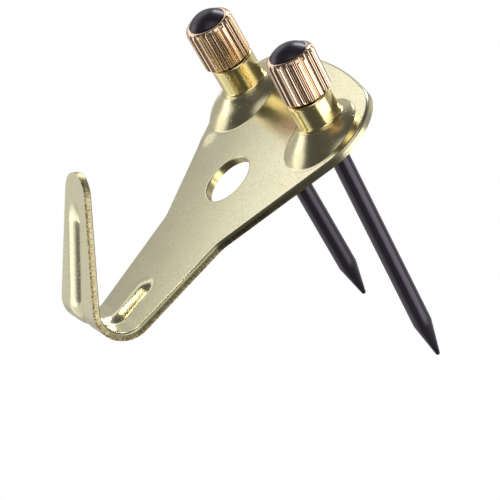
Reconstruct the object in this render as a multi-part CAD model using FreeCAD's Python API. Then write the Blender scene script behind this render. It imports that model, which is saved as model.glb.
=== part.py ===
import FreeCAD, Part
import math
import os

# Picture hook, in millimetres. X runs across the plate, Y into the wall and Z up.
# The origin is on the flat back face, midway between the two nails and level with the bosses.

V = FreeCAD.Vector
X_AXIS = V(1, 0, 0)
OUTWARD = V(0, -1, 0)

# Sheet and blank
SHEET = 0.85  # thickness of the sheet
EDGE_ROUND = 0.28  # rolled-over edge on the front of the blank
BLANK_OFFSET = 0.9  # the blank is cut this far to the right of the hole and the nails
CORNER_X = 7.5  # centre of the round upper corner, across
CORNER_Z = 0.45  # and up
CORNER_RADIUS = 6.0
TOP_CROWN = 0.85  # the middle of the top edge stands this far above the tops of the corners
SIDE_ANGLE = 28.0  # lean of the sides of the plate, degrees
STRIP_ANGLE = 7.5  # lean of the edges of the strip and the lip, degrees
STRIP_HALF = 4.7  # half the width where the bend starts
NECK_ROUND = 3.0  # round between the plate and the strip

# Hook
BEND_Z = -25.85  # height at which the bend starts
BEND_INSIDE = 2.4  # inside radius of the bend
BEND_ANGLE = 134.5  # how far the sheet is turned, degrees
LIP_LENGTH = 13.5  # straight part of the lip, to the tip
BEND_SECTIONS = 9

# Pressed rib, a groove outside and a ridge inside
RIB_RISE = 0.55  # depth of the groove and height of the ridge
GROOVE_HALF = 1.25
RIDGE_HALF = 1.15
RIB_X = 0.75  # the rib runs this far to the right of the hole
RIB_ABOVE_BEND = 3.0  # straight length up the strip
RIB_ON_LIP = 8.1  # straight length along the lip

# Hanging hole
HOLE_RADIUS = 2.8
HOLE_Z = -8.45

# Bosses and the tubes drawn out of them
BOSS_X = 8.75
BOSS_RADIUS = 4.5
BOSS_HOLLOW = 3.2  # radius of the hollow behind a boss
TUBE_X = 8.55
TUBE_Z = 0.78  # height at which a tube's axis meets the wall
TUBE_TILT = 14.0  # degrees, with the outer end up
TUBE_RADIUS = 2.35
TUBE_BORE = 1.5
TUBE_FOOT = 1.9  # along the axis, from the wall to the foot of the tube
TUBE_TOP = 4.8  # and to its rim
RIM_ROUND = 0.35
FOOT_STEP = 0.3  # narrow step round the foot of the tube

# Nails
SHANK_RADIUS = 1.0
SHANK_LENGTH = 32.4  # from the grip's lower end to the tip
POINT_LENGTH = 4.1
POINT_FLAT = 0.08
DOME_RADIUS = 2.0
DOME_RIM = 0.12

# Knurled grips
GRIP_RADIUS = 2.58
GRIP_LENGTH = 4.85
GRIP_SHOULDER_IN = 0.42  # sloping shoulder round the head, across
GRIP_SHOULDER_DOWN = 0.58  # and along the grip
GRIP_CHAMFER_END = 0.22
FLUTES = 22
FLUTE_RADIUS = 0.27
FLUTE_DEPTH = 0.24

# How each nail sits in its tube: shift across and up at the rim, lean sideways and down in
# degrees, the gap between the grip and the rim, and the height of the formed head. The nails
# are a loose fit and lean a little, each its own way.
NAIL_SIDES = {"left": -1, "right": 1}
NAIL_ACROSS = {"left": -0.27, "right": 0.2}
NAIL_UP = {"left": -0.1, "right": 0.15}
LEAN_SIDE = {"left": -2.0, "right": 1.7}
LEAN_DOWN = {"left": 0.0, "right": 4.2}
SEAT_GAP = {"left": 0.4, "right": 0.2}
DOME_HEIGHT = {"left": 1.05, "right": 0.82}

# Derived values
PLATE_TOP = CORNER_Z + CORNER_RADIUS + TOP_CROWN  # height of the top edge at the middle
BEND_OUTSIDE = BEND_INSIDE + SHEET
BEND_CENTRE = V(0, -BEND_OUTSIDE, BEND_Z)
BEND_RAD = math.radians(BEND_ANGLE)
STRIP_SLOPE = math.tan(math.radians(STRIP_ANGLE))
BEND_MIDLINE = (BEND_INSIDE + SHEET / 2) * BEND_RAD
LIP_HALF = STRIP_HALF - STRIP_SLOPE * BEND_MIDLINE
LIP_ALONG = V(0, -math.sin(BEND_RAD), -math.cos(BEND_RAD))
CLOSE = SHEET / 1000  # points nearer than this are the same
TUBE_IN = V(0, math.cos(math.radians(TUBE_TILT)), -math.sin(math.radians(TUBE_TILT)))
TUBE_UP = V(0, math.sin(math.radians(TUBE_TILT)), math.cos(math.radians(TUBE_TILT)))


def on_circle(centre, radius, degrees):
    """Point on a circle in the XZ plane."""
    turn = math.radians(degrees)
    return centre + V(radius * math.cos(turn), 0, radius * math.sin(turn))


def line(start, end):
    return Part.LineSegment(start, end).toShape()


def arc(start, middle, end):
    return Part.Arc(start, middle, end).toShape()


def corner_round(before, corner, after, radius):
    """Start, middle and end of the arc that rounds the corner between two lines."""
    back = (before - corner).normalize()
    ahead = (after - corner).normalize()
    half = back.getAngle(ahead) / 2
    reach = radius / math.tan(half)
    middle = (back + ahead).normalize() * (radius / math.sin(half) - radius)
    return corner + back * reach, corner + middle, corner + ahead * reach


def mirrored(point):
    return V(-point.x, point.y, point.z)


def blank_outline():
    """Closed outline of the flat plate and strip, down to the start of the bend."""
    corner = V(CORNER_X, 0, CORNER_Z)
    rise = PLATE_TOP - CORNER_Z
    top_radius = (CORNER_X**2 + rise**2 - CORNER_RADIUS**2) / (2 * TOP_CROWN)
    top_centre = V(0, 0, PLATE_TOP - top_radius)
    outward = (corner - top_centre).normalize()
    start_angle = math.degrees(math.atan2(outward.z, outward.x))
    top = V(0, 0, PLATE_TOP)
    shoulder = on_circle(corner, CORNER_RADIUS, start_angle)
    bulge = on_circle(corner, CORNER_RADIUS, (start_angle - SIDE_ANGLE) / 2)
    side = on_circle(corner, CORNER_RADIUS, -SIDE_ANGLE)
    end = V(STRIP_HALF, 0, BEND_Z)
    side_slope = math.tan(math.radians(SIDE_ANGLE))
    across = end.x - side.x + side_slope * side.z - STRIP_SLOPE * end.z
    neck_z = across / (side_slope - STRIP_SLOPE)
    neck = V(end.x + STRIP_SLOPE * (neck_z - end.z), 0, neck_z)
    neck_start, neck_middle, neck_end = corner_round(side, neck, end, NECK_ROUND)
    right = [
        arc(shoulder, bulge, side),
        line(side, neck_start),
        arc(neck_start, neck_middle, neck_end),
        line(neck_end, end),
    ]
    left = [
        line(mirrored(end), mirrored(neck_end)),
        arc(mirrored(neck_end), mirrored(neck_middle), mirrored(neck_start)),
        line(mirrored(neck_start), mirrored(side)),
        arc(mirrored(side), mirrored(bulge), mirrored(shoulder)),
    ]
    upper = arc(mirrored(shoulder), top, shoulder)
    return Part.Wire([upper] + right + [line(end, mirrored(end))] + left)


def bend_point(across, radius, turn):
    """Point on the bend, at a radius from its axis and an angle round from the strip."""
    return BEND_CENTRE + V(across, radius * math.cos(turn), -radius * math.sin(turn))


def bend_section(turn):
    """Cross-section of the sheet part way round the bend."""
    half = STRIP_HALF - STRIP_SLOPE * (BEND_INSIDE + SHEET / 2) * turn
    corners = [
        bend_point(-half, BEND_OUTSIDE, turn),
        bend_point(half, BEND_OUTSIDE, turn),
        bend_point(half, BEND_INSIDE, turn),
        bend_point(-half, BEND_INSIDE, turn),
    ]
    return Part.makePolygon(corners + [corners[0]])


def bend():
    turns = [BEND_RAD * step / (BEND_SECTIONS - 1) for step in range(BEND_SECTIONS)]
    return Part.makeLoft([bend_section(turn) for turn in turns], True, False)


def lip():
    """Tapered lip with a round end that its straight edges run into."""
    foot = bend_point(0, BEND_OUTSIDE, BEND_RAD)
    lean = math.radians(STRIP_ANGLE)
    narrow = LIP_HALF - STRIP_SLOPE * LIP_LENGTH
    end_radius = narrow * math.cos(lean) / (1 - STRIP_SLOPE * math.cos(lean))
    centre = foot + LIP_ALONG * (LIP_LENGTH - end_radius)
    meet = X_AXIS * (end_radius * math.cos(lean)) + LIP_ALONG * (end_radius * math.sin(lean))
    right = centre + meet
    left = mirrored(right)
    tip = foot + LIP_ALONG * LIP_LENGTH
    foot_right = foot + X_AXIS * LIP_HALF
    foot_left = foot - X_AXIS * LIP_HALF
    edges = [
        line(foot_left, foot_right),
        line(foot_right, right),
        arc(right, tip, left),
        line(left, foot_left),
    ]
    inward = bend_point(0, BEND_INSIDE, BEND_RAD) - foot
    return Part.Face(Part.Wire(edges)).extrude(inward)


def on_inner_side(point):
    """Whether a point lies on the front of the plate or the inside of the hook."""
    slack = SHEET / 20
    from_axis = V(0, point.y, point.z) - BEND_CENTRE
    inward = bend_point(0, 1, BEND_RAD) - BEND_CENTRE
    if point.z >= BEND_Z - slack and abs(point.y + SHEET) < slack:
        return True
    if from_axis.dot(LIP_ALONG) >= -slack and abs(from_axis.dot(inward) - BEND_INSIDE) < slack:
        return True
    return point.z < BEND_Z and abs(from_axis.Length - BEND_INSIDE) < slack


def is_rolled_edge(edge):
    """Edges of the blank on the inner side, without the seams across it."""
    first, last = edge.ParameterRange
    points = [edge.valueAt(first + (last - first) * part) for part in (0.02, 0.5, 0.98)]
    run = points[2] - points[0]
    straight = (points[1] - points[0]).cross(run).Length < CLOSE
    seam = straight and abs(run.x) > 0.999 * run.Length
    return all(on_inner_side(point) for point in points) and not seam


def sheet():
    flat = Part.Face(blank_outline()).extrude(V(0, -SHEET, 0))
    body = flat.fuse([bend(), lip()]).removeSplitter()
    rolled = [edge for edge in body.Edges if is_rolled_edge(edge)]
    body = body.makeFillet(EDGE_ROUND, rolled)
    body.translate(V(BLANK_OFFSET, 0, 0))
    return body


def rib_outline(face, half, root, whole):
    """Section of the rib, or its right half, bulging outward from a level and rooted behind it."""
    radius = (half**2 + RIB_RISE**2) / (2 * RIB_RISE)
    centre = V(RIB_X, face - RIB_RISE + radius, BEND_Z)
    crown = centre - V(0, radius, 0)
    turn = math.asin(half / radius) / 2
    flank = centre + V(radius * math.sin(turn), -radius * math.cos(turn), 0)
    right = V(RIB_X + half, face, BEND_Z)
    right_root = right + V(0, root, 0)
    if whole:
        left = right - V(2 * half, 0, 0)
        left_root = left + V(0, root, 0)
        edges = [line(left_root, left), arc(left, crown, right)]
        return Part.Wire(edges + [line(right, right_root), line(right_root, left_root)])
    middle_root = V(RIB_X, face + root, BEND_Z)
    edges = [line(middle_root, crown), arc(crown, flank, right)]
    return Part.Wire(edges + [line(right, right_root), line(right_root, middle_root)])


def rib_bar(face, half, root):
    """Bar with round ends that follows the strip, the bend and the lip."""
    section = Part.Face(rib_outline(face, half, root, True))
    half_section = Part.Face(rib_outline(face, half, root, False))
    end_axis = V(RIB_X, 0, BEND_Z)
    upper = section.extrude(V(0, 0, RIB_ABOVE_BEND))
    upper_end = half_section.revolve(end_axis, OUTWARD, 180)
    upper_end.translate(V(0, 0, RIB_ABOVE_BEND))
    turned = section.revolve(BEND_CENTRE, -X_AXIS, BEND_ANGLE)
    lower = section.extrude(V(0, 0, -RIB_ON_LIP))
    lower_end = half_section.revolve(end_axis, -OUTWARD, 180)
    lower_end.translate(V(0, 0, -RIB_ON_LIP))
    for piece in (lower, lower_end):
        piece.rotate(BEND_CENTRE, -X_AXIS, BEND_ANGLE)
    return upper.fuse([upper_end, turned, lower, lower_end]).removeSplitter()


def tube_point(side, along):
    """Point on a tube's axis, at a distance out from the wall."""
    return V(side * TUBE_X, 0, TUBE_Z) - TUBE_IN * along


def ring_wire(radius, centre, axis):
    return Part.Wire(Part.makeCircle(radius, centre, axis))


def boss(side):
    """Sloping boss and its tube, solid."""
    foot = tube_point(side, TUBE_FOOT)
    base = V(side * BOSS_X, -SHEET / 2, 0)
    front = V(side * BOSS_X, -SHEET, 0)
    low = ring_wire(BOSS_RADIUS, front, OUTWARD)
    high = ring_wire(TUBE_RADIUS + FOOT_STEP, foot, -TUBE_IN)
    flank = Part.makeLoft([low, high], True, True)
    root = Part.makeCylinder(BOSS_RADIUS, SHEET / 2, base, OUTWARD)
    tube = Part.makeCylinder(TUBE_RADIUS, TUBE_TOP - SHEET, tube_point(side, SHEET), -TUBE_IN)
    top = tube_point(side, TUBE_TOP)
    rim = [edge for edge in tube.Edges if edge.CenterOfMass.distanceToPoint(top) < CLOSE]
    tube = tube.makeFillet(RIM_ROUND, rim)
    return root.fuse([flank, tube])


def hollow(side):
    """Space behind a boss and through its tube."""
    mouth = V(side * BOSS_X, 0, 0)
    throat = tube_point(side, TUBE_FOOT - SHEET)
    wide = ring_wire(BOSS_HOLLOW, mouth, OUTWARD)
    narrow = ring_wire(TUBE_BORE, throat, -TUBE_IN)
    cone = Part.makeLoft([wide, narrow], True, True)
    bore = Part.makeCylinder(TUBE_BORE, 2 * TUBE_TOP, tube_point(side, 0), -TUBE_IN)
    return cone.fuse(bore)


def hook_plate():
    outline = blank_outline()
    outline.translate(V(BLANK_OFFSET, 0, 0))
    room = Part.Face(outline).extrude(V(0, -2 * TUBE_TOP, 0))
    bosses = [boss(side).common(room) for side in (-1, 1)]
    ridge = rib_bar(-SHEET, RIDGE_HALF, SHEET / 2)
    groove = rib_bar(0, GROOVE_HALF, SHEET)
    hole = Part.makeCylinder(HOLE_RADIUS, 2 * SHEET, V(0, SHEET / 2, HOLE_Z), OUTWARD)
    body = sheet().fuse(bosses + [ridge])
    body = body.cut([groove, hole, hollow(-1), hollow(1)])
    return body.removeSplitter()


def revolved(points):
    """Solid of revolution round Z from a closed outline of radius and height pairs."""
    outline = Part.makePolygon([V(radius, 0, height) for radius, height in points])
    return Part.Face(outline).revolve(V(0, 0, 0), V(0, 0, 1), 360)


def nail(dome_height):
    """Nail along Z with its point down, the grip's lower end at the origin."""
    shank_end = POINT_LENGTH - SHANK_LENGTH
    shank = revolved([
        (0, -SHANK_LENGTH),
        (POINT_FLAT, -SHANK_LENGTH),
        (SHANK_RADIUS, shank_end),
        (SHANK_RADIUS, GRIP_LENGTH + DOME_RIM),
        (0, GRIP_LENGTH + DOME_RIM),
        (0, -SHANK_LENGTH),
    ])
    ball_radius = (DOME_RADIUS**2 + dome_height**2) / (2 * dome_height)
    top = GRIP_LENGTH + DOME_RIM + dome_height
    ball = Part.makeSphere(ball_radius, V(0, 0, top - ball_radius))
    head = Part.makeCylinder(DOME_RADIUS, DOME_RIM + dome_height, V(0, 0, GRIP_LENGTH))
    return shank.fuse(head.common(ball)).removeSplitter()


def grip():
    """Knurled sleeve round the shank, with straight flutes that run out on its sloping shoulder."""
    sleeve = revolved([
        (SHANK_RADIUS, 0),
        (GRIP_RADIUS - GRIP_CHAMFER_END, 0),
        (GRIP_RADIUS, GRIP_CHAMFER_END),
        (GRIP_RADIUS, GRIP_LENGTH - GRIP_SHOULDER_DOWN),
        (GRIP_RADIUS - GRIP_SHOULDER_IN, GRIP_LENGTH),
        (SHANK_RADIUS, GRIP_LENGTH),
        (SHANK_RADIUS, 0),
    ])
    reach = GRIP_RADIUS - FLUTE_DEPTH + FLUTE_RADIUS
    length = GRIP_LENGTH + 2 * GRIP_CHAMFER_END
    flutes = []
    for number in range(FLUTES):
        turn = 2 * math.pi * number / FLUTES
        foot = V(reach * math.cos(turn), reach * math.sin(turn), -GRIP_CHAMFER_END)
        flutes.append(Part.makeCylinder(FLUTE_RADIUS, length, foot, V(0, 0, 1)))
    return sleeve.cut(flutes)


def seat(which):
    """Placement of a nail and its grip in the tube."""
    sideways = math.tan(math.radians(LEAN_SIDE[which]))
    down = math.tan(math.radians(LEAN_DOWN[which]))
    inward = (TUBE_IN + X_AXIS * sideways - TUBE_UP * down).normalize()
    rim = tube_point(NAIL_SIDES[which], TUBE_TOP)
    foot = rim + X_AXIS * NAIL_ACROSS[which] + TUBE_UP * NAIL_UP[which] - inward * SEAT_GAP[which]
    return FreeCAD.Placement(foot, FreeCAD.Rotation(V(0, 0, 1), -inward))


def placed(shape, which):
    moved = shape.copy()
    moved.Placement = seat(which)
    return moved


def main():
    os.makedirs("parts", exist_ok=True)
    hook_plate().exportStep("parts/hook_plate.step")
    for which in NAIL_SIDES:
        placed(nail(DOME_HEIGHT[which]), which).exportStep("parts/nail_" + which + ".step")
        placed(grip(), which).exportStep("parts/nail_grip_" + which + ".step")


main()
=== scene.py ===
import math

import bpy
import numpy as np
from bpy.props import FloatProperty, FloatVectorProperty, IntProperty
from bpy.types import Operator, Panel, PropertyGroup
from mathutils import Matrix, Vector
from mathutils.geometry import delaunay_2d_cdt


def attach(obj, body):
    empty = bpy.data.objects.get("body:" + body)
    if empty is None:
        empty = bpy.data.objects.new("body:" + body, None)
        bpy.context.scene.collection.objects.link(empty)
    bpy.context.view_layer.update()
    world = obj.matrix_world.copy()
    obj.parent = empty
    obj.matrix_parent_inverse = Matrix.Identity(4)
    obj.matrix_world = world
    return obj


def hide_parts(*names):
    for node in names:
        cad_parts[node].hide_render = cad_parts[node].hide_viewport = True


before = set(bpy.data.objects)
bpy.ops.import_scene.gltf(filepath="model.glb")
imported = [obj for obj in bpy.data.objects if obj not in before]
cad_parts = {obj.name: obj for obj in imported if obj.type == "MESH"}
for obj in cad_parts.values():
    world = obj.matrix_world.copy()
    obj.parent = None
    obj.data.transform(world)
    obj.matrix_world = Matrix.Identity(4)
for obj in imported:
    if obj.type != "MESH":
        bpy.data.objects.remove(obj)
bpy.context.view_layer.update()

bl_info = {
    "name": "Picture Hook",
    "version": (1, 0, 0),
    "blender": (4, 5, 0),
    "location": "3D View > Sidebar > Hook",
    "description": "Builds a folded brass picture hook with its two nails and knurled grips",
    "category": "Add Mesh",
}

MM = 0.001

# How finely the plate is meshed: millimetres, counts and shares of the spacing
BORDER_STEP = 0.16
RING_STEP = 0.12
BACK_COARSER = 1.6
LATTICE_CLEAR = 0.7
HOLE_POINTS = 110
TUBE_POINTS = 128
ROLL_ROWS = 6
WALL_ROWS = 6
BOSS_RINGS = (-0.16, -0.05, 0.0, 0.05, 0.16, 0.3)
HALVINGS = 30

# Small forms of the plate: millimetres, powers, and shares of a boss's flank or the rib's half width
HOLE_ROUND = 0.1
RIDGE_POWER = 1.35
GROOVE_POWER = 1.8
GROOVE_STRETCH = 1.7
VALLEY_EASE = 0.003
CREASE_AT = -0.05
CREASE_WIDE = 0.045
DRAWN_BAND = 0.03
RIM_INSIDE = 0.7
HOLLOW_STEPS = (0.25, 0.5, 0.75, 1.0)
SCUFF_WIDE = 0.1
SCUFF_SPAN = (-0.6, 2.2)

# Strength of the masks that the plating reads
FRONT_DRAWN = 0.3
SCUFFED = 0.9
# Share of the cut's darker colour on the rolled front edges: painted shade that dims their highlight
ROLL_SHADE = 0.7
HOLE_SHEARED = 0.3
PLATE_SHEARED = 0.3
SHEAR_STARTS = -2.0
SHEAR_RUN = 8.0

# Turned pieces: counts, millimetres, degrees and shares of half a flute's period
NAIL_POINTS = 96
HEAD_ROUND = 0.08
TIP_ANGLE = -86.0
DOME_ANGLE = 89.3
TIP_FULLNESS = 1.05
FLUTE_POINTS = 20
SHOULDER_POINTS = 20
BORE_CHAMFER = 0.15
UPPER_CHAMFER = (0.3, 0.1)
LAND_SHARE = 0.36
FLANK_SHARE = 0.5
FLANK_EASE = 0.3

# Linear colours of the plating: gold of the drawn tubes, and pairs for the cut and torn walls. The two pairs
# for the cut are painted shade round the plate and painted light along the bend and the lip
GOLD = (0.90, 0.76, 0.38, 1.0)
SHADED_CUT = ((0.13, 0.108, 0.05, 1.0), (0.34, 0.29, 0.155, 1.0))
LIT_CUT = ((0.42, 0.345, 0.16, 1.0), (0.88, 0.78, 0.48, 1.0))
TORN = ((0.17, 0.13, 0.065, 1.0), (0.62, 0.52, 0.29, 1.0))

# Smooth folds sharper than this, in degrees, are drawn as edges
SHARP_FOLD = 38


def length(name, millimetres, description):
    """Property for a length, given here in millimetres and kept in metres."""
    return FloatProperty(
        name=name, description=description, default=millimetres * MM, unit="LENGTH", subtype="DISTANCE"
    )


def angle(name, degrees, description):
    """Property for an angle, given here in degrees and kept in radians."""
    return FloatProperty(
        name=name, description=description, default=math.radians(degrees), unit="ROTATION", subtype="ANGLE"
    )


def colour(name, rgb, description):
    """Property for a linear colour."""
    return FloatVectorProperty(name=name, description=description, default=rgb, subtype="COLOR", size=3)


class HookPlateSizes(PropertyGroup):
    """Sizes of the folded plate and its fine forms."""

    sheet: length("Sheet", 0.85, "Thickness of the sheet")
    edge_round: length("Rolled edge", 0.28, "Radius of the rolled edge on the front")
    blank_offset: length("Blank offset", 0.9, "How far the blank is cut to the right of the hole")
    corner_x: length("Corner across", 7.5, "Centre of the round upper corner, across")
    corner_z: length("Corner up", 0.45, "Centre of the round upper corner, up")
    corner_radius: length("Corner radius", 6.0, "Radius of the upper corners")
    top_crown: length("Top crown", 0.85, "Height of the middle of the top edge over the corners")
    side_angle: angle("Side angle", 28.0, "Lean of the sides of the plate")
    strip_angle: angle("Strip angle", 7.5, "Lean of the edges of the strip")
    strip_half: length("Strip half width", 4.7, "Half the width where the bend starts")
    neck_round: length("Neck round", 3.0, "Round between the plate and the strip")
    bend_z: length("Bend height", -25.85, "Height at which the bend starts")
    bend_inside: length("Bend radius", 2.4, "Inside radius of the bend")
    bend_angle: angle("Bend angle", 134.5, "How far the sheet is turned")
    lip_length: length("Lip length", 13.5, "Straight part of the lip")
    rib_rise: length("Rib rise", 0.55, "Height of the ridge")
    rib_half: length("Rib half width", 1.6, "Half the width of the ridge at its foot")
    groove_half: length("Groove half width", 1.7, "Half the width of the groove at its mouth")
    groove_deep: length("Groove depth", 0.95, "Depth of the valley of the groove")
    groove_x: length("Groove place", 0.55, "How far the groove runs to the right of the hole")
    rib_x: length("Rib place", 0.75, "How far the rib runs to the right of the hole")
    rib_above: length("Rib on the strip", 3.0, "Straight length of the rib up the strip")
    rib_on_lip: length("Rib on the lip", 8.1, "Straight length of the rib along the lip")
    hole_radius: length("Hole radius", 2.8, "Radius of the hanging hole")
    hole_z: length("Hole height", -8.45, "Height of the hanging hole")
    boss_x: length("Boss place", 8.75, "Centre of a boss, across")
    boss_radius: length("Boss radius", 4.5, "Radius of a boss at its foot")
    boss_hollow: length("Boss hollow", 3.2, "Radius of the hollow behind a boss")
    dent: length("Dent", 0.19, "Height of the soft dent by the left edge")
    dent_wide: length("Dent width", 0.8, "Radius of the dent")
    dent_x: length("Dent across", -9.0, "Place of the dent, across")
    dent_z: length("Dent height", -5.6, "Place of the dent, up")
    swell: FloatProperty(name="Swell", description="How far a boss's flank swells out", default=0.16)
    crease: length("Crease", 0.03, "Depth of the crease round a boss")
    tube_x: length("Tube place", 8.55, "Where a tube's axis meets the wall, across")
    tube_z: length("Tube height", 0.78, "Where a tube's axis meets the wall, up")
    tube_tilt: angle("Tube tilt", 14.0, "Tilt of a tube, with its outer end up")
    tube_radius: length("Tube radius", 2.35, "Outer radius of a tube")
    tube_bore: length("Tube bore", 1.5, "Inner radius of a tube")
    tube_foot: length("Tube foot", 1.9, "Distance along the axis from the wall to the foot")
    tube_top_left: length("Left tube top", 5.0, "Distance along the left axis to the rim")
    tube_top_right: length("Right tube top", 4.8, "Distance along the right axis to the rim")
    rim_round: length("Rim round", 0.22, "Round at the rim of a tube")
    foot_round: length("Foot round", 0.3, "Round at the foot of a tube")
    grid: length("Mesh spacing", 0.17, "Distance between the points of the front surface")
    colour: colour("Plating", (0.88, 0.82, 0.56), "Colour of the plating")


class NailSizes(PropertyGroup):
    """Sizes of the nails and their knurled grips."""

    shank_radius: length("Shank radius", 1.0, "Radius of the shank")
    shank_length: length("Shank length", 32.4, "From a grip's lower end to the tip")
    point_length: length("Point length", 4.1, "Length of the point")
    point_flat: length("Point flat", 0.22, "Radius of the blunt end of the point")
    dome_radius: length("Head radius", 2.0, "Radius of the domed head")
    dome_rim: length("Head rim", 0.12, "Height of the straight rim under the dome")
    grip_radius: length("Grip radius", 2.58, "Outer radius of a grip")
    grip_length: length("Grip length", 4.85, "Length of a grip")
    shoulder_in: length("Shoulder across", 0.42, "How far the shoulder round the head slopes inward")
    shoulder_down: length("Shoulder height", 0.58, "How far the shoulder reaches down the grip")
    chamfer_end: length("Lower chamfer", 0.16, "Chamfer at the plate end of a grip")
    flutes: IntProperty(name="Flutes", description="Number of flutes round a grip", default=22, min=8)
    flute_depth: length("Flute depth", 0.23, "Depth of a flute")
    steel: colour("Steel", (0.06, 0.053, 0.068), "Colour of the blued steel")
    brass: colour("Grip brass", (0.94, 0.72, 0.55), "Colour of the red brass")


class StageSizes(PropertyGroup):
    """Camera and light."""

    camera: FloatVectorProperty(
        name="Camera", description="Place of the camera", size=3, subtype="TRANSLATION",
        default=(0.37306, -0.20585, -0.05964),
    )
    azimuth: angle("Azimuth", 60.332, "Direction of view round the upright")
    elevation: angle("Elevation", -6.3345, "The camera looks up by this much")
    roll: angle("Roll", -39.5617, "Turn of the camera round its line of sight")
    lens: FloatProperty(name="Lens", description="Focal length in millimetres", default=304.13)
    shift_x: FloatProperty(name="Shift across", description="Camera shift across", default=-0.00506)
    shift_y: FloatProperty(name="Shift up", description="Camera shift up", default=-0.00067)
    softbox: FloatProperty(name="Softboxes", description="Brightness of all softboxes together", default=1.0)


# How each nail sits in its tube, and the height of its dome: millimetres and degrees
NAIL_SEATS = {
    "left": {
        "side": -1,
        "across": -0.27,
        "up": -0.1,
        "side_lean": -2.0,
        "down_lean": 0.0,
        "gap": 0.2,
        "dome": 0.88,
    },
    "right": {
        "side": 1,
        "across": 0.2,
        "up": 0.15,
        "side_lean": 1.7,
        "down_lean": 4.2,
        "gap": 0.2,
        "dome": 0.82,
    },
}


def mesh_piece(name, points, parts, attributes=None):
    """Put points in millimetres and arrays of faces in a new object at the origin.

    Points at the same place become one, and the attributes are kept for each corner of a face, so
    that they can change along a seam. The mesh is smooth apart from sharp folds.
    """
    _, first, same = np.unique(np.round(points, 4), axis=0, return_index=True, return_inverse=True)
    same = same.ravel()
    faces = [face for part in parts for face in same[part].tolist()]
    mesh = bpy.data.meshes.new(name)
    mesh.from_pydata((points[first] * MM).tolist(), [], faces)
    corners = np.concatenate([part.ravel() for part in parts])
    for key, values in (attributes or {}).items():
        flat = values.ndim == 1
        layer = mesh.attributes.new(key, "FLOAT" if flat else "FLOAT_VECTOR", "CORNER")
        layer.data.foreach_set("value" if flat else "vector", values[corners].astype(np.float32).ravel())
    if mesh.validate():
        raise RuntimeError(name + " has faces that are not sound")
    mesh.update()
    mesh.shade_smooth()
    mesh.set_sharp_from_angle(angle=math.radians(SHARP_FOLD))
    piece = bpy.data.objects.new(name, mesh)
    bpy.context.scene.collection.objects.link(piece)
    return piece


def grid_faces(rows, columns):
    """Quads between neighbouring rows of a grid whose columns close on themselves."""
    row, column = np.meshgrid(np.arange(rows - 1), np.arange(columns), indexing="ij")
    after = (column + 1) % columns
    here, below = row * columns, (row + 1) * columns
    quads = [here + column, here + after, below + after, below + column]
    return np.stack([part.ravel() for part in quads], axis=1)


def ring_of(count):
    """Angles evenly round a circle."""
    return np.linspace(0, 2 * math.pi, count, endpoint=False)


def profile_points(profile, spacing):
    """Points along an open profile, no further apart than the spacing, corners kept."""
    profile = np.asarray(profile, float)
    runs = [profile[:1]]
    for start, end in zip(profile[:-1], profile[1:]):
        steps = max(int(math.ceil(np.linalg.norm(end - start) / spacing)), 1)
        part = np.linspace(0, 1, steps + 1)[1:, None]
        runs.append(start + (end - start) * part)
    return np.vstack(runs)


def arc_profile(centre, radius, start, end, steps):
    """Points on an arc of a profile; angles in degrees."""
    turn = np.radians(np.linspace(start, end, steps + 1))
    return np.stack([centre[0] + radius * np.cos(turn), centre[1] + radius * np.sin(turn)], axis=1)


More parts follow.
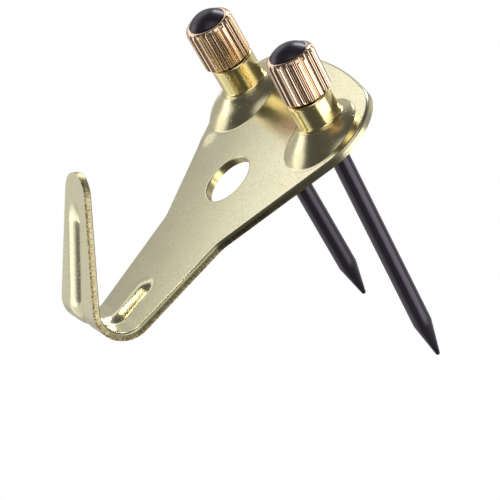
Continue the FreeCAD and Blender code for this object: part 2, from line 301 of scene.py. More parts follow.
class Plate:
    """The developed blank and how it is folded. Lengths are in millimetres.

    x runs across and s down the middle of the flat blank; h is the height over the back face.
    """

    def __init__(self, sizes):
        for key in HookPlateSizes.__annotations__:
            value = getattr(sizes, key)
            plain = key.endswith(("angle", "tilt")) or key in ("swell", "colour")
            setattr(self, key, value if plain else value / MM)
        self.slope = math.tan(self.strip_angle)
        self.middle_radius = self.bend_inside + self.sheet / 2
        self.outside = self.bend_inside + self.sheet
        self.bend_run = self.middle_radius * self.bend_angle
        self.lip_s = self.bend_z - self.bend_run
        self.tip_s = self.lip_s - self.lip_length
        self.inward = np.array([0.0, math.cos(self.tube_tilt), -math.sin(self.tube_tilt)])
        self.upward = np.array([0.0, math.sin(self.tube_tilt), math.cos(self.tube_tilt)])

    def fold(self, x, s, h):
        """Place of blank points on the folded hook.

        They are flat above the bend, turned round the bend's axis by the run past its start over
        the middle radius, and straight again on the lip.
        """
        run = np.clip(self.bend_z - s, 0, self.bend_run)
        turn = run / self.middle_radius
        reach = self.outside - h
        past = np.minimum(s - self.lip_s, 0)
        above = np.maximum(s - self.bend_z, 0)
        along = np.array([-math.sin(self.bend_angle), -math.cos(self.bend_angle)])
        y = -self.outside + reach * np.cos(turn) - past * along[0]
        z = self.bend_z - reach * np.sin(turn) + above - past * along[1]
        return np.stack([x, y, z], axis=-1)

    def outline(self, spacing):
        """Points and outward normals round the blank, anticlockwise from the tip: arcs and lines."""
        rise = self.corner_radius + self.top_crown
        top = (self.corner_x**2 + rise**2 - self.corner_radius**2) / (2 * self.top_crown)
        top_s = self.corner_z + rise - top
        start = math.atan2(self.corner_z - top_s, self.corner_x)
        lean = self.strip_angle
        narrow = self.strip_half - self.slope * (self.bend_run + self.lip_length)
        tip = narrow * math.cos(lean) / (1 - math.sin(lean))
        corner = np.array([self.corner_x, self.corner_z])
        outward = np.array([math.cos(self.side_angle), -math.sin(self.side_angle)])
        side = corner + self.corner_radius * outward
        steep = math.tan(self.side_angle)
        gap = self.strip_half - side[0] + steep * side[1] - self.slope * self.bend_z
        neck_s = gap / (steep - self.slope)
        neck = np.array([self.strip_half + self.slope * (neck_s - self.bend_z), neck_s])
        reach = self.neck_round * math.tan((self.side_angle - lean) / 2)
        low = neck - reach * np.array([math.sin(lean), math.cos(lean)])
        centre = low + self.neck_round * np.array([math.cos(lean), -math.sin(lean)])
        pieces = [
            self.arc((0, self.tip_s + tip), tip, -math.pi / 2, -lean, spacing),
            None,
            self.arc(centre, -self.neck_round, math.pi - lean, math.pi - self.side_angle, spacing),
            None,
            self.arc(corner, self.corner_radius, -self.side_angle, start, spacing),
            self.arc((0, top_s), top, start, math.pi / 2, spacing),
        ]
        for place in (1, 3):
            first, last = pieces[place - 1], pieces[place + 1]
            steps = max(int(np.linalg.norm(last[0, :2] - first[-1, :2]) / spacing), 2)
            part = np.linspace(0, 1, steps + 1)[1:-1, None]
            pieces[place] = first[-1] + (last[0] - first[-1]) * part
        right = np.vstack([pieces[0], pieces[1], pieces[2], pieces[3], pieces[4], pieces[5][1:]])
        left = right[1:-1][::-1] * np.array([-1, 1, -1, 1])
        loop = np.vstack([right, left])
        loop[:, 0] += self.blank_offset
        return loop[:, :2], loop[:, 2:]

    @staticmethod
    def arc(centre, radius, start, end, spacing):
        """Points and outward normals along an arc; a negative radius is a hollow arc."""
        steps = max(int(abs(radius * (end - start)) / spacing), 4)
        turn = np.linspace(start, end, steps + 1)
        out = np.stack([np.cos(turn), np.sin(turn)], axis=1)
        return np.hstack([np.asarray(centre) + abs(radius) * out, out * math.copysign(1, radius)])

    def flank(self, side, x, s):
        """How far up a boss's flank a blank point lies, 0 at the boss's foot and 1 at the tube's.

        The rings between the two feet are ellipses whose centre and half axes change evenly, and
        the ring through each point is found by halving.
        """
        low = np.array([side * self.boss_x, 0.0])
        high_3d = self.tube_point(side, self.tube_foot)
        high = high_3d[[0, 2]]
        wide = np.array([self.boss_radius, self.boss_radius])
        ring = self.tube_radius + self.foot_round
        narrow = np.array([ring, ring * math.cos(self.tube_tilt)])
        inner, outer = np.full(x.shape, 1.0), np.full(x.shape, -0.6)
        for _ in range(HALVINGS):
            middle = (inner + outer) / 2
            part = middle[..., None]
            away = (np.stack([x, s], axis=-1) - low - part * (high - low)) / (wide + part * (narrow - wide))
            outside = (away**2).sum(axis=-1) > 1
            inner = np.where(outside, middle, inner)
            outer = np.where(outside, outer, middle)
        level = (inner + outer) / 2
        part = level[..., None]
        away = (np.stack([x, s], axis=-1) - low - part * (high - low)) / (wide + part * (narrow - wide))
        foot_height = -high_3d[1] - ring * away[..., 1] * math.sin(self.tube_tilt)
        return level, foot_height

    def tube_point(self, side, along):
        """Point on a tube's axis at a distance out from the wall."""
        return np.array([side * self.tube_x, 0.0, self.tube_z]) - self.inward * along

    def relief(self, x, s):
        """Height of the front face, and the mask of the drawn bosses.

        A boss rises from its foot to the tube's foot along a slightly swollen line inside a fine
        crease. The ridge is a round bar: one less the square of the distance over its half width,
        to a power. A soft dent by the left edge is a bell curve.
        """
        height = np.full(x.shape, self.sheet)
        drawn = np.zeros(x.shape)
        for side in (-1, 1):
            level, foot_height = self.flank(side, x, s)
            part = np.clip(level, 0, 1)
            swell = part + self.swell * np.sin(math.pi * part) * (1 - part)
            height = np.where(level > 0, self.sheet + (foot_height - self.sheet) * swell, height)
            crease = np.exp(-(((level - CREASE_AT) / CREASE_WIDE) ** 2))
            height = height - self.crease * crease
            drawn = np.maximum(drawn, np.clip(level / DRAWN_BAND, 0, 1))
        away = self.from_rib(x, s, self.rib_x, self.rib_half, 1.0)
        height += self.rib_rise * np.clip(1 - away**2, 0, None) ** RIDGE_POWER
        from_dent = (x - self.dent_x) ** 2 + (s - self.dent_z) ** 2
        height += self.dent * np.exp(-from_dent / self.dent_wide**2)
        return height, drawn

    def groove(self, x, s):
        """Depth of the groove on the back.

        It is one less the distance from its valley over its half width, to a power, so that it is
        a valley between wide round shoulders. The valley itself is eased a little.
        """
        away = self.from_rib(x, s, self.groove_x, self.groove_half, GROOVE_STRETCH)
        eased = np.sqrt(away**2 + VALLEY_EASE)
        return self.groove_deep * np.clip(1 - eased, 0, None) ** GROOVE_POWER

    def boss_rings(self, border, spacing):
        """Points on rings at the foot of each boss, where they lie on the blank."""
        rings = []
        for side in (-1, 1):
            for change in BOSS_RINGS:
                radius = self.boss_radius + change
                count = int(2 * math.pi * radius / spacing)
                ring = ellipse_loop((side * self.boss_x, 0), radius, radius, count)
                clear = nearest(ring, border) > 2 * self.edge_round
                rings.append(ring[inside(ring, border) & clear])
        return rings

    def scuff(self, x, s):
        """Mask of the scuffed line along the right foot of the ridge, on the straight strip."""
        line = np.exp(-(((x - self.rib_x - self.rib_half) / SCUFF_WIDE) ** 2))
        low, high = SCUFF_SPAN
        return line * (s > self.bend_z + low) * (s < self.bend_z + high)

    def from_rib(self, x, s, middle, half, stretch):
        """Distance from the line of the rib over its half width; the ends are stretched."""
        low = self.lip_s - self.rib_on_lip
        high = self.bend_z + self.rib_above
        return np.hypot(x - middle, (s - np.clip(s, low, high)) / stretch) / half


def inside(points, loop):
    """Which points lie inside a closed loop, by counting crossings."""
    x, y = points[:, 0][:, None], points[:, 1][:, None]
    ax, ay = loop[:, 0], loop[:, 1]
    bx, by = np.roll(ax, -1), np.roll(ay, -1)
    crosses = ((ay > y) != (by > y)) & (x < (bx - ax) * (y - ay) / (by - ay + 1e-30) + ax)
    return crosses.sum(axis=1) % 2 == 1


def nearest(points, others):
    """Distance from each point to the nearest of the others, a batch at a time."""
    result = np.empty(len(points))
    batch = 2000
    for start in range(0, len(points), batch):
        part = points[start : start + batch]
        gap = ((part[:, None, :] - others[None, :, :]) ** 2).sum(axis=2)
        result[start : start + batch] = np.sqrt(gap.min(axis=1))
    return result


def filled(loops, rings, spacing):
    """Triangles over the area inside the first loop and outside the others.

    The loops come first in the points, then the rings beside them, then an even triangular
    lattice that keeps clear of both.
    """
    edge = np.vstack(loops + rings)
    low, high = loops[0].min(axis=0), loops[0].max(axis=0)
    step = spacing * math.sqrt(3) / 2
    rows = np.arange(low[1], high[1], step)
    across = np.arange(low[0], high[0], spacing)
    x, y = np.meshgrid(across, rows)
    x = x + spacing / 2 * (np.arange(len(rows)) % 2)[:, None]
    lattice = np.stack([x.ravel(), y.ravel()], axis=1)
    lattice = lattice[inside(lattice, loops[0])]
    for loop in loops[1:]:
        lattice = lattice[~inside(lattice, loop)]
    lattice = lattice[nearest(lattice, edge) > LATTICE_CLEAR * spacing]
    points = np.vstack([edge, lattice])
    borders, start = [], 0
    for loop in loops:
        count = len(loop)
        borders += [(start + i, start + (i + 1) % count) for i in range(count)]
        start += count
    flat = [Vector(point) for point in points.tolist()]
    result = delaunay_2d_cdt(flat, borders, [], 1, 1e-7, False)
    if len(result[0]) != len(points):
        raise RuntimeError("points of the plate were merged")
    faces = np.array(result[2])
    middle = points[faces].mean(axis=1)
    for number, loop in enumerate(loops):
        keep = inside(middle, loop) == (number == 0)
        faces, middle = faces[keep], middle[keep]
    a, b, c = points[faces[:, 0]], points[faces[:, 1]], points[faces[:, 2]]
    area = (b[:, 0] - a[:, 0]) * (c[:, 1] - a[:, 1]) - (b[:, 1] - a[:, 1]) * (c[:, 0] - a[:, 0])
    faces[area < 0] = faces[area < 0][:, ::-1]
    return points, faces


def ellipse_loop(centre, half_x, half_y, count):
    """Points round an ellipse."""
    turn = ring_of(count)
    return np.stack([centre[0] + half_x * np.cos(turn), centre[1] + half_y * np.sin(turn)], axis=1)


def build_plate(sizes):
    """The folded plate.

    Front and back are filled from the outline, with walls between them, and each boss has a lathed
    tube and hollow. All are joined where their edges meet.
    """
    plate = Plate(sizes)
    border, normal = plate.outline(BORDER_STEP)
    hole_centre = np.array([0.0, plate.hole_z])
    hole = ellipse_loop(hole_centre, plate.hole_radius, plate.hole_radius, HOLE_POINTS)
    hole_out = (hole - hole_centre) / plate.hole_radius
    count = TUBE_POINTS
    ring = plate.tube_radius + plate.foot_round
    feet, mouths = [], []
    for side in (-1, 1):
        foot = plate.tube_point(side, plate.tube_foot)
        feet.append(ellipse_loop(foot[[0, 2]], ring, ring * math.cos(plate.tube_tilt), count))
        mouths.append(ellipse_loop((side * plate.boss_x, 0), plate.boss_hollow, plate.boss_hollow, count))

    roll = np.radians(np.linspace(0, 90, ROLL_ROWS + 1))[1:]
    rings, drops = [], []
    for turn in roll:
        rings.append(border - normal * plate.edge_round * (1 - math.cos(turn)))
        drops.append(np.full(len(border), plate.edge_round * (1 - math.sin(turn))))
        rings.append(hole + hole_out * HOLE_ROUND * (1 - math.cos(turn)))
        drops.append(np.full(len(hole), HOLE_ROUND * (1 - math.sin(turn))))
    loops = [border, hole] + feet
    boss_rings = plate.boss_rings(border, RING_STEP)
    front, front_faces = filled(loops, rings + boss_rings, plate.grid)
    loop_count = sum(len(loop) for loop in loops)
    drop = np.zeros(len(front))
    drop[: len(border)] = plate.edge_round
    drop[len(border) : len(border) + len(hole)] = HOLE_ROUND
    ring_drop = np.concatenate(drops)
    drop[loop_count : loop_count + len(ring_drop)] = ring_drop
    height, stretched = plate.relief(front[:, 0], front[:, 1])
    height = height - drop
    front_points = plate.fold(front[:, 0], front[:, 1], height)

    back_loops = [border, hole] + mouths
    back, back_faces = filled(back_loops, [], plate.grid * BACK_COARSER)
    back_height = plate.groove(back[:, 0], back[:, 1])
    back_points = plate.fold(back[:, 0], back[:, 1], back_height)

    points, faces, shear, run, drawn = [], [], [], [], []
    lower = np.clip((SHEAR_STARTS - border[:, 1]) / SHEAR_RUN, 0, 1)
    torn = PLATE_SHEARED + (1 - PLATE_SHEARED) * lower

    def add(new_points, new_faces, wall_share=0.0, along=None, tube=0.0):
        start = sum(len(part) for part in points)
        points.append(new_points)
        faces.append(np.asarray(new_faces) + start)
        shear.append(np.broadcast_to(np.asarray(wall_share, float), len(new_points)))
        drawn.append(np.broadcast_to(np.asarray(tube, float), len(new_points)))
        run.append(np.zeros((len(new_points), 3)) if along is None else along)

    scuffed = SCUFFED * plate.scuff(front[:, 0], front[:, 1])
    # The scuffed line is real wear; the rolled front edges get the wall mask too, as painted shade towards
    # the cut's darker colour
    scuff_and_roll_shade = np.maximum(scuffed, ROLL_SHADE * drop / plate.edge_round)
    add(front_points, front_faces, scuff_and_roll_shade, None, FRONT_DRAWN * stretched)
    add(back_points, back_faces[:, ::-1])

    edge_run = np.concatenate([[0], np.cumsum(np.linalg.norm(np.diff(border, axis=0), axis=1))])
    edge_height = height[: len(border)]
    back_edge = back_height[: len(border)]
    levels = np.linspace(0, 1, WALL_ROWS)
    # How far along the bend towards the lip; the plating paints the cut lighter there, as painted light
    on_lip = np.clip((plate.bend_z - border[:, 1]) / plate.bend_run, 0, 1)
    wall, along = [], []
    for part in levels:
        between = edge_height * (1 - part) + back_edge * part
        wall.append(plate.fold(border[:, 0], border[:, 1], between))
        across = np.full(len(border), part * plate.sheet)
        along.append(np.stack([edge_run, across, on_lip], axis=1))
    wall_share = np.tile(torn, len(levels))
    wall_faces = grid_faces(len(levels), len(border))[:, ::-1]
    add(np.vstack(wall), wall_faces, wall_share, np.vstack(along))

    rim = slice(len(border), len(border) + len(hole))
    hole_run = ring_of(len(hole)) * plate.hole_radius
    wall, along = [], []
    for part in levels:
        wall.append(plate.fold(hole[:, 0], hole[:, 1], height[rim] * (1 - part)))
        across = np.full(len(hole), part * plate.sheet)
        along.append(np.stack([hole_run, across, 0 * hole_run], axis=1))
    wall_faces = grid_faces(len(levels), len(hole))
    add(np.vstack(wall), wall_faces, HOLE_SHEARED, np.vstack(along), 1.0)

    turn = ring_of(count)
    for number, side in enumerate((-1, 1)):
        radius, low, bore = plate.tube_radius, plate.tube_foot, plate.tube_bore
        foot, soft = plate.foot_round, plate.rim_round
        soft_in = soft * RIM_INSIDE
        top = plate.tube_top_left if side < 0 else plate.tube_top_right
        profile = np.vstack([
            arc_profile((radius + foot, low + foot), foot, -90, -180, 8),
            profile_points([(radius, low + foot), (radius, top - soft)], 0.2)[1:],
            arc_profile((radius - soft, top - soft), soft, 0, 90, 10)[1:],
            arc_profile((bore + soft_in, top - soft_in), soft_in, 90, 180, 6)[1:],
            profile_points([(bore, top - soft_in), (bore, low - plate.sheet)], 0.3)[1:],
        ])
        axis = plate.tube_point(side, 0) - plate.inward * profile[:, 1][:, None]
        round_x = np.cos(turn)[None, :, None] * np.array([1.0, 0.0, 0.0])
        round_up = np.sin(turn)[None, :, None] * plate.upward
        tube = axis[:, None, :] + profile[:, 0][:, None, None] * (round_x + round_up)
        rows = list(tube)
        mouth = mouths[number]
        wide = np.stack([mouth[:, 0], 0 * mouth[:, 0], mouth[:, 1]], axis=1)
        for part in HOLLOW_STEPS:
            rows.append(tube[-1] * (1 - part) + wide * part)
        masks = np.concatenate([np.ones(len(tube) * count), np.zeros(len(HOLLOW_STEPS) * count)])
        add(np.vstack(rows), grid_faces(len(rows), count), 0.0, None, masks)

    layers = {"shear": np.concatenate(shear), "run": np.vstack(run), "drawn": np.concatenate(drawn)}
    return mesh_piece("plate_body", np.vstack(points), faces, layers)


def seat(plate, which):
    """Place of a nail: the point where its grip ends, its inward direction and two across it."""
    place = NAIL_SEATS[which]
    sideways = math.tan(math.radians(place["side_lean"]))
    down = math.tan(math.radians(place["down_lean"]))
    inward = plate.inward + np.array([sideways, 0, 0]) - plate.upward * down
    inward /= np.linalg.norm(inward)
    rim = plate.tube_point(place["side"], getattr(plate, "tube_top_" + which))
    foot = rim + np.array([place["across"], 0, 0]) + plate.upward * place["up"]
    foot = foot - inward * place["gap"]
    across = np.cross(-inward, np.cross(np.array([1.0, 0, 0]), -inward))
    across /= np.linalg.norm(across)
    return foot, -inward, across, np.cross(-inward, across)


def lathe(place, profile, count, radial=None):
    """Surface of revolution round a nail's axis from rows of (radius, height).

    An optional change of radius depends on the angle and the row.
    """
    foot, outward, across, other = place
    turn = ring_of(count)
    radius = np.repeat(profile[:, 0][:, None], count, axis=1)
    if radial is not None:
        radius = radius + radial(turn, profile)
    spokes = np.cos(turn)[:, None] * across + np.sin(turn)[:, None] * other
    points = foot + outward * profile[:, 1][:, None, None] + radius[..., None] * spokes
    return points.reshape(-1, 3), grid_faces(len(profile), count)


def closed(points, count):
    """Points and fans that close the first and the last row of a lathed surface."""
    first = np.arange(count)
    last = len(points) - count + first
    ends = np.vstack([points[:count].mean(axis=0), points[-count:].mean(axis=0)])
    low = np.stack([first * 0 + len(points), np.roll(first, -1), first], axis=1)
    high = np.stack([first * 0 + len(points) + 1, last, np.roll(last, -1)], axis=1)
    return np.vstack([points, ends]), [low, high]


def build_nail(plate_sizes, sizes, which):
    """A nail: a cone with a round tip, a straight shank and a domed head with a small round rim."""
    place = seat(Plate(plate_sizes), which)
    shank, tip = sizes.shank_radius / MM, sizes.shank_length / MM
    point, flat = sizes.point_length / MM, sizes.point_flat / MM
    grip, rim = sizes.grip_length / MM, sizes.dome_rim / MM
    wide, dome = sizes.dome_radius / MM, NAIL_SEATS[which]["dome"]
    ball = (wide**2 + dome**2) / (2 * dome)
    half = math.degrees(math.asin(wide / ball))
    soft = HEAD_ROUND
    lean = math.atan2(shank - flat, point)
    ball_low = flat / math.cos(lean) * TIP_FULLNESS
    end = arc_profile((0, ball_low - tip), ball_low, TIP_ANGLE, -math.degrees(lean), 8)
    profile = [
        end,
        profile_points([end[-1], (shank, point - tip)], 0.25)[1:],
        profile_points([(shank, point - tip), (shank, grip - 0.02)], 0.8)[1:],
        np.array([[wide - soft, grip]]),
        arc_profile((wide - soft, grip + soft), soft, -90, 0, 5)[1:],
        arc_profile((0, grip + rim + dome - ball), ball, 90 - half, DOME_ANGLE, 24),
    ]
    points, faces = lathe(place, np.vstack(profile), NAIL_POINTS)
    points, fans = closed(points, NAIL_POINTS)
    return mesh_piece("nail_steel_" + which, points, [faces] + fans)


def build_grip(plate_sizes, sizes, which):
    """A grip: a sleeve with a bulging shoulder.

    Its outer radius is the smaller of its turned outline and a fluted column.
    Round the column flat lands alternate with flutes that have straight, slightly eased flanks
    and a narrow floor. The flutes run out on the shoulder in a row of lobes.
    """
    place = seat(Plate(plate_sizes), which)
    radius, long = sizes.grip_radius / MM, sizes.grip_length / MM
    bore, end, depth = sizes.shank_radius / MM, sizes.chamfer_end / MM, sizes.flute_depth / MM
    across, down = sizes.shoulder_in / MM, sizes.shoulder_down / MM
    turn = np.radians(np.linspace(0, 90, SHOULDER_POINTS))
    shoulder_x = radius - across * (1 - np.cos(turn))
    shoulder = np.stack([shoulder_x, long - down * (1 - np.sin(turn))], axis=1)
    wide, deep = UPPER_CHAMFER
    profile = np.vstack([
        [[bore, BORE_CHAMFER], [bore + BORE_CHAMFER, 0.0]],
        profile_points([(radius - end, 0.0), (radius, end)], 0.04),
        profile_points([(radius, end), (radius, long - down)], 0.3)[1:],
        shoulder[1:],
        [[bore + wide, long], [bore, long - deep]],
    ])

    def radial(turn, rows):
        from_land = np.abs((turn * sizes.flutes / (2 * math.pi)) % 1 - 0.5) * 2
        flute = np.clip((from_land - LAND_SHARE) / FLANK_SHARE, 0, 1)
        eased = flute * flute * (3 - 2 * flute)
        flute = eased * FLANK_EASE + flute * (1 - FLANK_EASE)
        outer = rows[:, 0][:, None]
        cut = np.minimum(outer, radius - depth * flute[None, :]) - outer
        return np.where(outer > radius - across - 0.01, cut, 0.0)

    count = sizes.flutes * FLUTE_POINTS
    points, faces = lathe(place, profile, count, radial)
    last = len(points) - count
    around = np.arange(count)
    after = np.roll(around, -1)
    inner_wall = np.stack([last + around, last + after, after, around], axis=1)
    return mesh_piece("grip_knurled_" + which, points, [faces, inner_wall])


def node(tree, kind, **values):
    """Add a node and set its properties, and its inputs by name or number."""
    made = tree.nodes.new(kind)
    inputs = values.pop("inputs", {})
    for key, value in values.items():
        setattr(made, key, value)
    for key, value in inputs.items():
        if isinstance(value, bpy.types.NodeSocket):
            tree.links.new(value, made.inputs[key])
        else:
            made.inputs[key].default_value = value
    return made


def new_group(name, inputs, outputs):
    """Start a shader node group with named inputs and outputs."""
    group = bpy.data.node_groups.new(name, "ShaderNodeTree")
    for label, kind, default in inputs:
        socket = group.interface.new_socket(label, in_out="INPUT", socket_type=kind)
        if default is not None:
            socket.default_value = default
    for label, kind in outputs:
        group.interface.new_socket(label, in_out="OUTPUT", socket_type=kind)
    return group, group.nodes.new("NodeGroupInput"), group.nodes.new("NodeGroupOutput")


def calculated(tree, operation, *values):
    """Result of a math node."""
    made = node(tree, "ShaderNodeMath", operation=operation, inputs=dict(enumerate(values)))
    return made.outputs[0]


def spread(tree, value, low, high, first=0.0, last=1.0):
    """A value moved from the range of low and high to the range of first and last."""
    ends = {"Value": value, "From Min": low, "From Max": high, "To Min": first, "To Max": last}
    return node(tree, "ShaderNodeMapRange", inputs=ends).outputs[0]


def noise(tree, place, scale, detail):
    """Soft noise between 0 and 1."""
    given = {"Vector": place, "Scale": scale, "Detail": detail}
    return node(tree, "ShaderNodeTexNoise", inputs=given).outputs["Fac"]


def mix_colour(tree, factor, first, second):
    """Colour between two colours or sockets."""
    given = {"Factor": factor, 6: first, 7: second}
    return node(tree, "ShaderNodeMix", data_type="RGBA", inputs=given).outputs[2]


def mix_value(tree, factor, first, second):
    """Value between two values or sockets."""
    return node(tree, "ShaderNodeMix", inputs={"Factor": factor, 2: first, 3: second}).outputs[0]


def speckle_group():
    """Fine specks and clouds of a plated surface, from object coordinates.

    It gives a mask of sparse bright specks, a soft cloud and a fine grain.
    """
    group, given, out = new_group(
        "plated_grain",
        [
            ("Vector", "NodeSocketVector", None),
            ("Speck size", "NodeSocketFloat", 3000.0),
            ("Cloud size", "NodeSocketFloat", 200.0),
        ],
        [("Speck", "NodeSocketFloat"), ("Cloud", "NodeSocketFloat"), ("Grain", "NodeSocketFloat")],
    )
    place, fine = given.outputs["Vector"], given.outputs["Speck size"]
    speck = node(group, "ShaderNodeTexVoronoi", inputs={"Vector": place, "Scale": fine}).outputs
    pick = node(group, "ShaderNodeTexWhiteNoise", inputs={"Vector": speck["Position"]})
    rare = calculated(group, "GREATER_THAN", pick.outputs["Value"], 0.9)
    near = spread(group, speck["Distance"], 0.35, 0.1)
    group.links.new(calculated(group, "MULTIPLY", rare, near), out.inputs["Speck"])
    group.links.new(noise(group, place, given.outputs["Cloud size"], 3.0), out.inputs["Cloud"])
    group.links.new(noise(group, place, fine, 2.0), out.inputs["Grain"])
    return group


def shared_grain():
    """The plated grain group, made once."""
    return bpy.data.node_groups.get("plated_grain") or speckle_group()


def start_material(name):
    """A material with a Principled shader, and its tree and shader."""
    material = bpy.data.materials.new(name)
    material.use_nodes = True
    tree = material.node_tree
    return material, tree, tree.nodes["Principled BSDF"]


def surface_marks(tree, specks, clouds):
    """Outputs of the shared grain, with the given scales of its specks and clouds."""
    place = node(tree, "ShaderNodeTexCoord").outputs["Object"]
    given = {"Vector": place, "Speck size": specks, "Cloud size": clouds}
    return node(tree, "ShaderNodeGroup", node_tree=shared_grain(), inputs=given).outputs


def attribute(tree, name, output):
    """Output of an attribute of the mesh."""
    return node(tree, "ShaderNodeAttribute", attribute_name=name).outputs[output]


def tinted(rgb, red, green, blue):
    """A colour with each channel times its own factor."""
    return (rgb[0] * red, rgb[1] * green, rgb[2] * blue, 1.0)


def roughen(tree, shader, height, strength, depth):
    """Bump of a height on the shader's normal; the depth is in millimetres."""
    given = {"Height": height, "Strength": strength, "Distance": depth * MM}
    bump = node(tree, "ShaderNodeBump", inputs=given)
    tree.links.new(bump.outputs[0], shader.inputs["Normal"])


def plating_material(rgb):
    """Pale brass plating: satin and grainy on the faces, golden on the drawn tubes.

    A sheared wall is bright with fine cross marks next to the front face and torn next to the
    back face. Its cut is painted darker round the plate as painted shade, and painted lighter along
    the bend and the lip as painted light. The rolled front edges take the cut's darker colour
    too, as painted shade.
    """
    material, tree, shader = start_material("pale_brass_plating")
    marks = surface_marks(tree, 5600.0, 260.0)
    drawn = attribute(tree, "drawn", "Fac")
    shear = attribute(tree, "shear", "Fac")
    run = attribute(tree, "run", "Vector")
    where = node(tree, "ShaderNodeSeparateXYZ", inputs={"Vector": run}).outputs

    dull, light = tinted(rgb, 0.91, 0.91, 0.89), tinted(rgb, 1.06, 1.06, 1.08)
    face = mix_colour(tree, spread(tree, marks["Grain"], 0.3, 0.7), dull, light)
    face = mix_colour(tree, drawn, face, GOLD)
    tool = node(tree, "ShaderNodeMapping", inputs={"Vector": run, "Scale": (9.0, 1.1, 1.0)})
    tear = noise(tree, tool.outputs[0], 1.0, 3.0)
    lines = spread(tree, tear, 0.4, 0.62)
    shaded_cut, lit_cut = mix_colour(tree, lines, *SHADED_CUT), mix_colour(tree, lines, *LIT_CUT)
    # Painted shade on the cut round the plate, painted light on it along the bend and the lip
    cut = mix_colour(tree, where["Z"], shaded_cut, lit_cut)
    torn = mix_colour(tree, spread(tree, marks["Grain"], 0.42, 0.6), *TORN)
    depth = calculated(tree, "MULTIPLY_ADD", tear, 0.35, where["Y"])
    wall = mix_colour(tree, spread(tree, depth, 0.64, 0.72), cut, torn)
    # The wall mask also paints the rolled front edges with the cut's darker colour, as painted shade
    tree.links.new(mix_colour(tree, shear, face, wall), shader.inputs["Base Color"])

    rough = spread(tree, marks["Cloud"], 0.0, 1.0, 0.18, 0.26)
    smooth = mix_value(tree, drawn, rough, 0.18)
    tree.links.new(mix_value(tree, shear, smooth, 0.42), shader.inputs["Roughness"])
    shader.inputs["Metallic"].default_value = 1.0
    lifted = calculated(tree, "MULTIPLY", marks["Speck"], 2.0)
    base = calculated(tree, "ADD", lifted, marks["Grain"])
    ripped = calculated(tree, "MULTIPLY", tear, shear)
    roughen(tree, shader, calculated(tree, "MULTIPLY_ADD", ripped, 3.0, base), 1.0, 0.0055)
    return material


def clouded_metal(name, first, second, rough, metallic, clouds):
    """A metal whose colour and roughness change softly in clouds, with a very fine grain."""
    material, tree, shader = start_material(name)
    marks = surface_marks(tree, 2600.0, clouds)
    tree.links.new(mix_colour(tree, marks["Cloud"], first, second), shader.inputs["Base Color"])
    tree.links.new(spread(tree, marks["Cloud"], 0.0, 1.0, *rough), shader.inputs["Roughness"])
    shader.inputs["Metallic"].default_value = metallic
    roughen(tree, shader, marks["Grain"], 0.2, 0.004)
    return material


def steel_material(rgb):
    """Blued steel, dark and semi-gloss, with faint clouds."""
    light = tinted(rgb, 1.3, 1.28, 1.3)
    return clouded_metal("blued_steel", (*rgb, 1.0), light, (0.25, 0.34), 0.7, 420.0)


def brass_material(rgb):
    """Polished red brass with a little tarnish in clouds."""
    dull = tinted(rgb, 0.8, 0.72, 0.65)
    return clouded_metal("red_brass", (*rgb, 1.0), dull, (0.1, 0.16), 1.0, 500.0)


class HOOK_OT_plate(Operator):
    """Build the folded plate with its bosses, tubes, rib and hanging hole"""

    bl_idname = "hook.plate"
    bl_label = "Plate"

    def execute(self, context):
        sizes = context.scene.hook_plate
        piece = build_plate(sizes)
        piece.data.materials.append(plating_material(tuple(sizes.colour)))
        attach(piece, "root")
        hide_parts("hook_plate")
        return {"FINISHED"}


class HOOK_OT_nails(Operator):
    """Build the two nails with their domed heads"""

    bl_idname = "hook.nails"
    bl_label = "Nails"

    def execute(self, context):
        sizes = context.scene.hook_nails
        steel = steel_material(tuple(sizes.steel))
        for which in NAIL_SEATS:
            piece = build_nail(context.scene.hook_plate, sizes, which)
            piece.data.materials.append(steel)
            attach(piece, "root")
            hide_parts("nail_" + which)
        return {"FINISHED"}


class HOOK_OT_grips(Operator):
    """Build the two knurled grips"""

    bl_idname = "hook.grips"
    bl_label = "Grips"

    def execute(self, context):
        sizes = context.scene.hook_nails
        brass = brass_material(tuple(sizes.brass))
        for which in NAIL_SEATS:
            piece = build_grip(context.scene.hook_plate, sizes, which)
            piece.data.materials.append(brass)
            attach(piece, "root")
            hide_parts("nail_grip_" + which)
        return {"FINISHED"}


def camera_matrix(stage):
    """Turn of the camera from its azimuth, elevation and roll."""
    ahead = Vector((
        -math.sin(stage.azimuth) * math.cos(stage.elevation),
        math.cos(stage.azimuth) * math.cos(stage.elevation),
        -math.sin(stage.elevation),
    ))
    right = ahead.cross(Vector((0, 0, 1))).normalized()
    turned = Matrix.Rotation(stage.roll, 3, ahead) @ right
    above = turned.cross(ahead)
    return Matrix((turned, above, -ahead)).transposed()


def softbox(name, turn, place, aim, along, size, brightness, tint):
    """Area light with places given across, up and towards the camera, in metres.

    It faces its aim, and its width runs as near to the given direction as that allows.
    """
    light = bpy.data.lights.new(name, "AREA")
    light.shape = "RECTANGLE"
    light.size, light.size_y = size
    light.energy = brightness * size[0] * size[1] * math.pi
    light.color = tint
    back = (turn @ (Vector(place) - Vector(aim))).normalized()
    up = back.cross(turn @ Vector(along)).normalized()
    lamp = bpy.data.objects.new(name, light)
    facing = Matrix((up.cross(back), up, back)).transposed().to_4x4()
    lamp.matrix_world = Matrix.Translation(turn @ Vector(place)) @ facing
    lamp.visible_camera = False
    bpy.context.scene.collection.objects.link(lamp)
    return lamp


# Softboxes: place, aim, direction of the width, width and height, brightness, colour
LAMPS = (
    (
        "softbox_right", (0.30, -0.10, 0.145), (0, 0, 0), (-0.445, -0.64, 0.627),
        (0.34, 0.13), 2.5, (1.0, 0.99, 0.97),
    ),
    (
        "softbox_top", (0.055, 0.315, -0.15), (0, 0, 0), (1, 0, 0),
        (0.15, 0.08), 10.0, (0.93, 0.96, 1.0),
    ),
    (
        "card_left", (-0.0415, 0.038, -0.0184), (-0.0165, 0.0146, 0.0022), (-0.163, 0.548, 0.82),
        (0.026, 0.06), 0.80, (1.0, 1.0, 1.0),
    ),
)

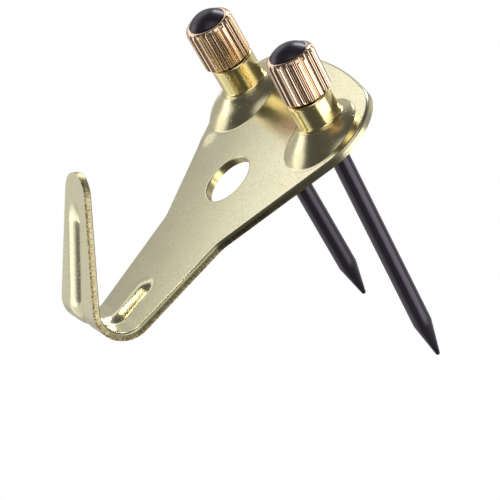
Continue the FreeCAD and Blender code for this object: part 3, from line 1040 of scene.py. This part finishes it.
# Soft panels of the surroundings: direction, cosines where it ends and is full, brightness
PANELS = (
    ((0.0, 0.0, -1.0), 0.25, 0.6, 0.38),
    ((-0.94, 0.17, -0.28), 0.955, 0.985, 1.1),
    ((-0.75, -0.65, -0.15), 0.82, 0.95, 0.7),
    ((-0.2, 0.5, 0.84), 0.88, 0.97, 0.6),
    ((0.3, 0.15, 0.94), 0.85, 0.97, 1.2),
    ((-0.93, -0.36, 0.05), 0.93, 0.985, 0.9),
    ((-0.78, -0.25, -0.57), 0.9, 0.98, 0.22),
    ((-0.08, 0.07, -1.0), 0.945, 0.985, 0.6),
    ((0.95, 0.25, -0.3), 0.6, 0.95, 0.3),
)
# Brightness between the panels
DIM = 0.08
WHITE = (1.0, 1.0, 1.0, 1.0)

# Half the width of the square floor and its height, in metres
FLOOR_HALF = 1.5
FLOOR_LOW = -0.16


def studio_world(turn):
    """Surroundings of a light tent: dim where the camera stands, with soft pale panels."""
    world = bpy.data.worlds.new("studio")
    world.use_nodes = True
    tree = world.node_tree
    around = node(tree, "ShaderNodeTexCoord").outputs["Generated"]
    total = None
    for direction, ends, full, level in PANELS:
        axis = turn @ Vector(direction).normalized()
        facing = node(
            tree, "ShaderNodeVectorMath", operation="DOT_PRODUCT", inputs={0: around, 1: tuple(axis)}
        )
        panel = node(
            tree, "ShaderNodeMapRange", interpolation_type="SMOOTHSTEP",
            inputs={"Value": facing.outputs["Value"], "From Min": ends, "From Max": full, "To Max": level},
        ).outputs[0]
        total = panel if total is None else calculated(tree, "ADD", total, panel)
    backdrop = tree.nodes["Background"]
    backdrop.inputs["Color"].default_value = WHITE
    tree.links.new(calculated(tree, "ADD", total, DIM), backdrop.inputs["Strength"])
    plain = node(tree, "ShaderNodeBackground", inputs={"Color": WHITE, "Strength": 1.0})
    path = node(tree, "ShaderNodeLightPath")
    mix = node(
        tree, "ShaderNodeMixShader",
        inputs={0: path.outputs["Is Camera Ray"], 1: backdrop.outputs[0], 2: plain.outputs[0]},
    )
    tree.links.new(mix.outputs[0], tree.nodes["World Output"].inputs["Surface"])
    return world


class HOOK_OT_stage(Operator):
    """Set the camera, the lights and a plain pale floor"""

    bl_idname = "hook.stage"
    bl_label = "Stage"

    def execute(self, context):
        stage = context.scene.hook_stage
        turn = camera_matrix(stage)
        data = bpy.data.cameras.new("camera")
        data.lens = stage.lens
        data.shift_x, data.shift_y = stage.shift_x, stage.shift_y
        data.clip_start, data.clip_end = 0.01, 20
        camera = bpy.data.objects.new("camera", data)
        camera.matrix_world = Matrix.Translation(Vector(stage.camera)) @ turn.to_4x4()
        context.scene.collection.objects.link(camera)
        context.scene.camera = camera

        for name, place, aim, along, size, brightness, tint in LAMPS:
            softbox(name, turn, place, aim, along, size, brightness * stage.softbox, tint)
        context.scene.world = studio_world(turn)
        context.scene.view_settings.view_transform = "Standard"

        half, low = FLOOR_HALF, FLOOR_LOW
        corners = [(-half, -half, low), (half, -half, low), (half, half, low), (-half, half, low)]
        mesh = bpy.data.meshes.new("floor")
        mesh.from_pydata(corners, [], [(0, 1, 2, 3)])
        floor = bpy.data.objects.new("floor", mesh)
        context.scene.collection.objects.link(floor)
        material, _, shader = start_material("pale_floor")
        shader.inputs["Base Color"].default_value = (0.9, 0.9, 0.9, 1.0)
        shader.inputs["Roughness"].default_value = 0.8
        floor.data.materials.append(material)
        floor.visible_glossy = False
        return {"FINISHED"}


class HOOK_PT_panel(Panel):
    """Lists the steps that build the hook"""

    bl_idname = "HOOK_PT_panel"
    bl_label = "Picture Hook"
    bl_space_type = "VIEW_3D"
    bl_region_type = "UI"
    bl_category = "Hook"

    def draw(self, context):
        layout = self.layout
        for step in STEPS:
            layout.operator(step.bl_idname)
        layout.prop(context.scene.hook_plate, "colour")
        layout.prop(context.scene.hook_nails, "brass")


STEPS = (HOOK_OT_plate, HOOK_OT_nails, HOOK_OT_grips, HOOK_OT_stage)
GROUPS = {"hook_plate": HookPlateSizes, "hook_nails": NailSizes, "hook_stage": StageSizes}


def register():
    for group in GROUPS.values():
        bpy.utils.register_class(group)
    for step in STEPS + (HOOK_PT_panel,):
        bpy.utils.register_class(step)
    for name, group in GROUPS.items():
        setattr(bpy.types.Scene, name, bpy.props.PointerProperty(type=group))


def unregister():
    for name in GROUPS:
        delattr(bpy.types.Scene, name)
    for step in (HOOK_PT_panel,) + STEPS[::-1]:
        bpy.utils.unregister_class(step)
    for group in GROUPS.values():
        bpy.utils.unregister_class(group)


def main():
    register()
    bpy.ops.hook.plate()
    bpy.ops.hook.nails()
    bpy.ops.hook.grips()
    bpy.ops.hook.stage()


if __name__ == "__main__":
    main()
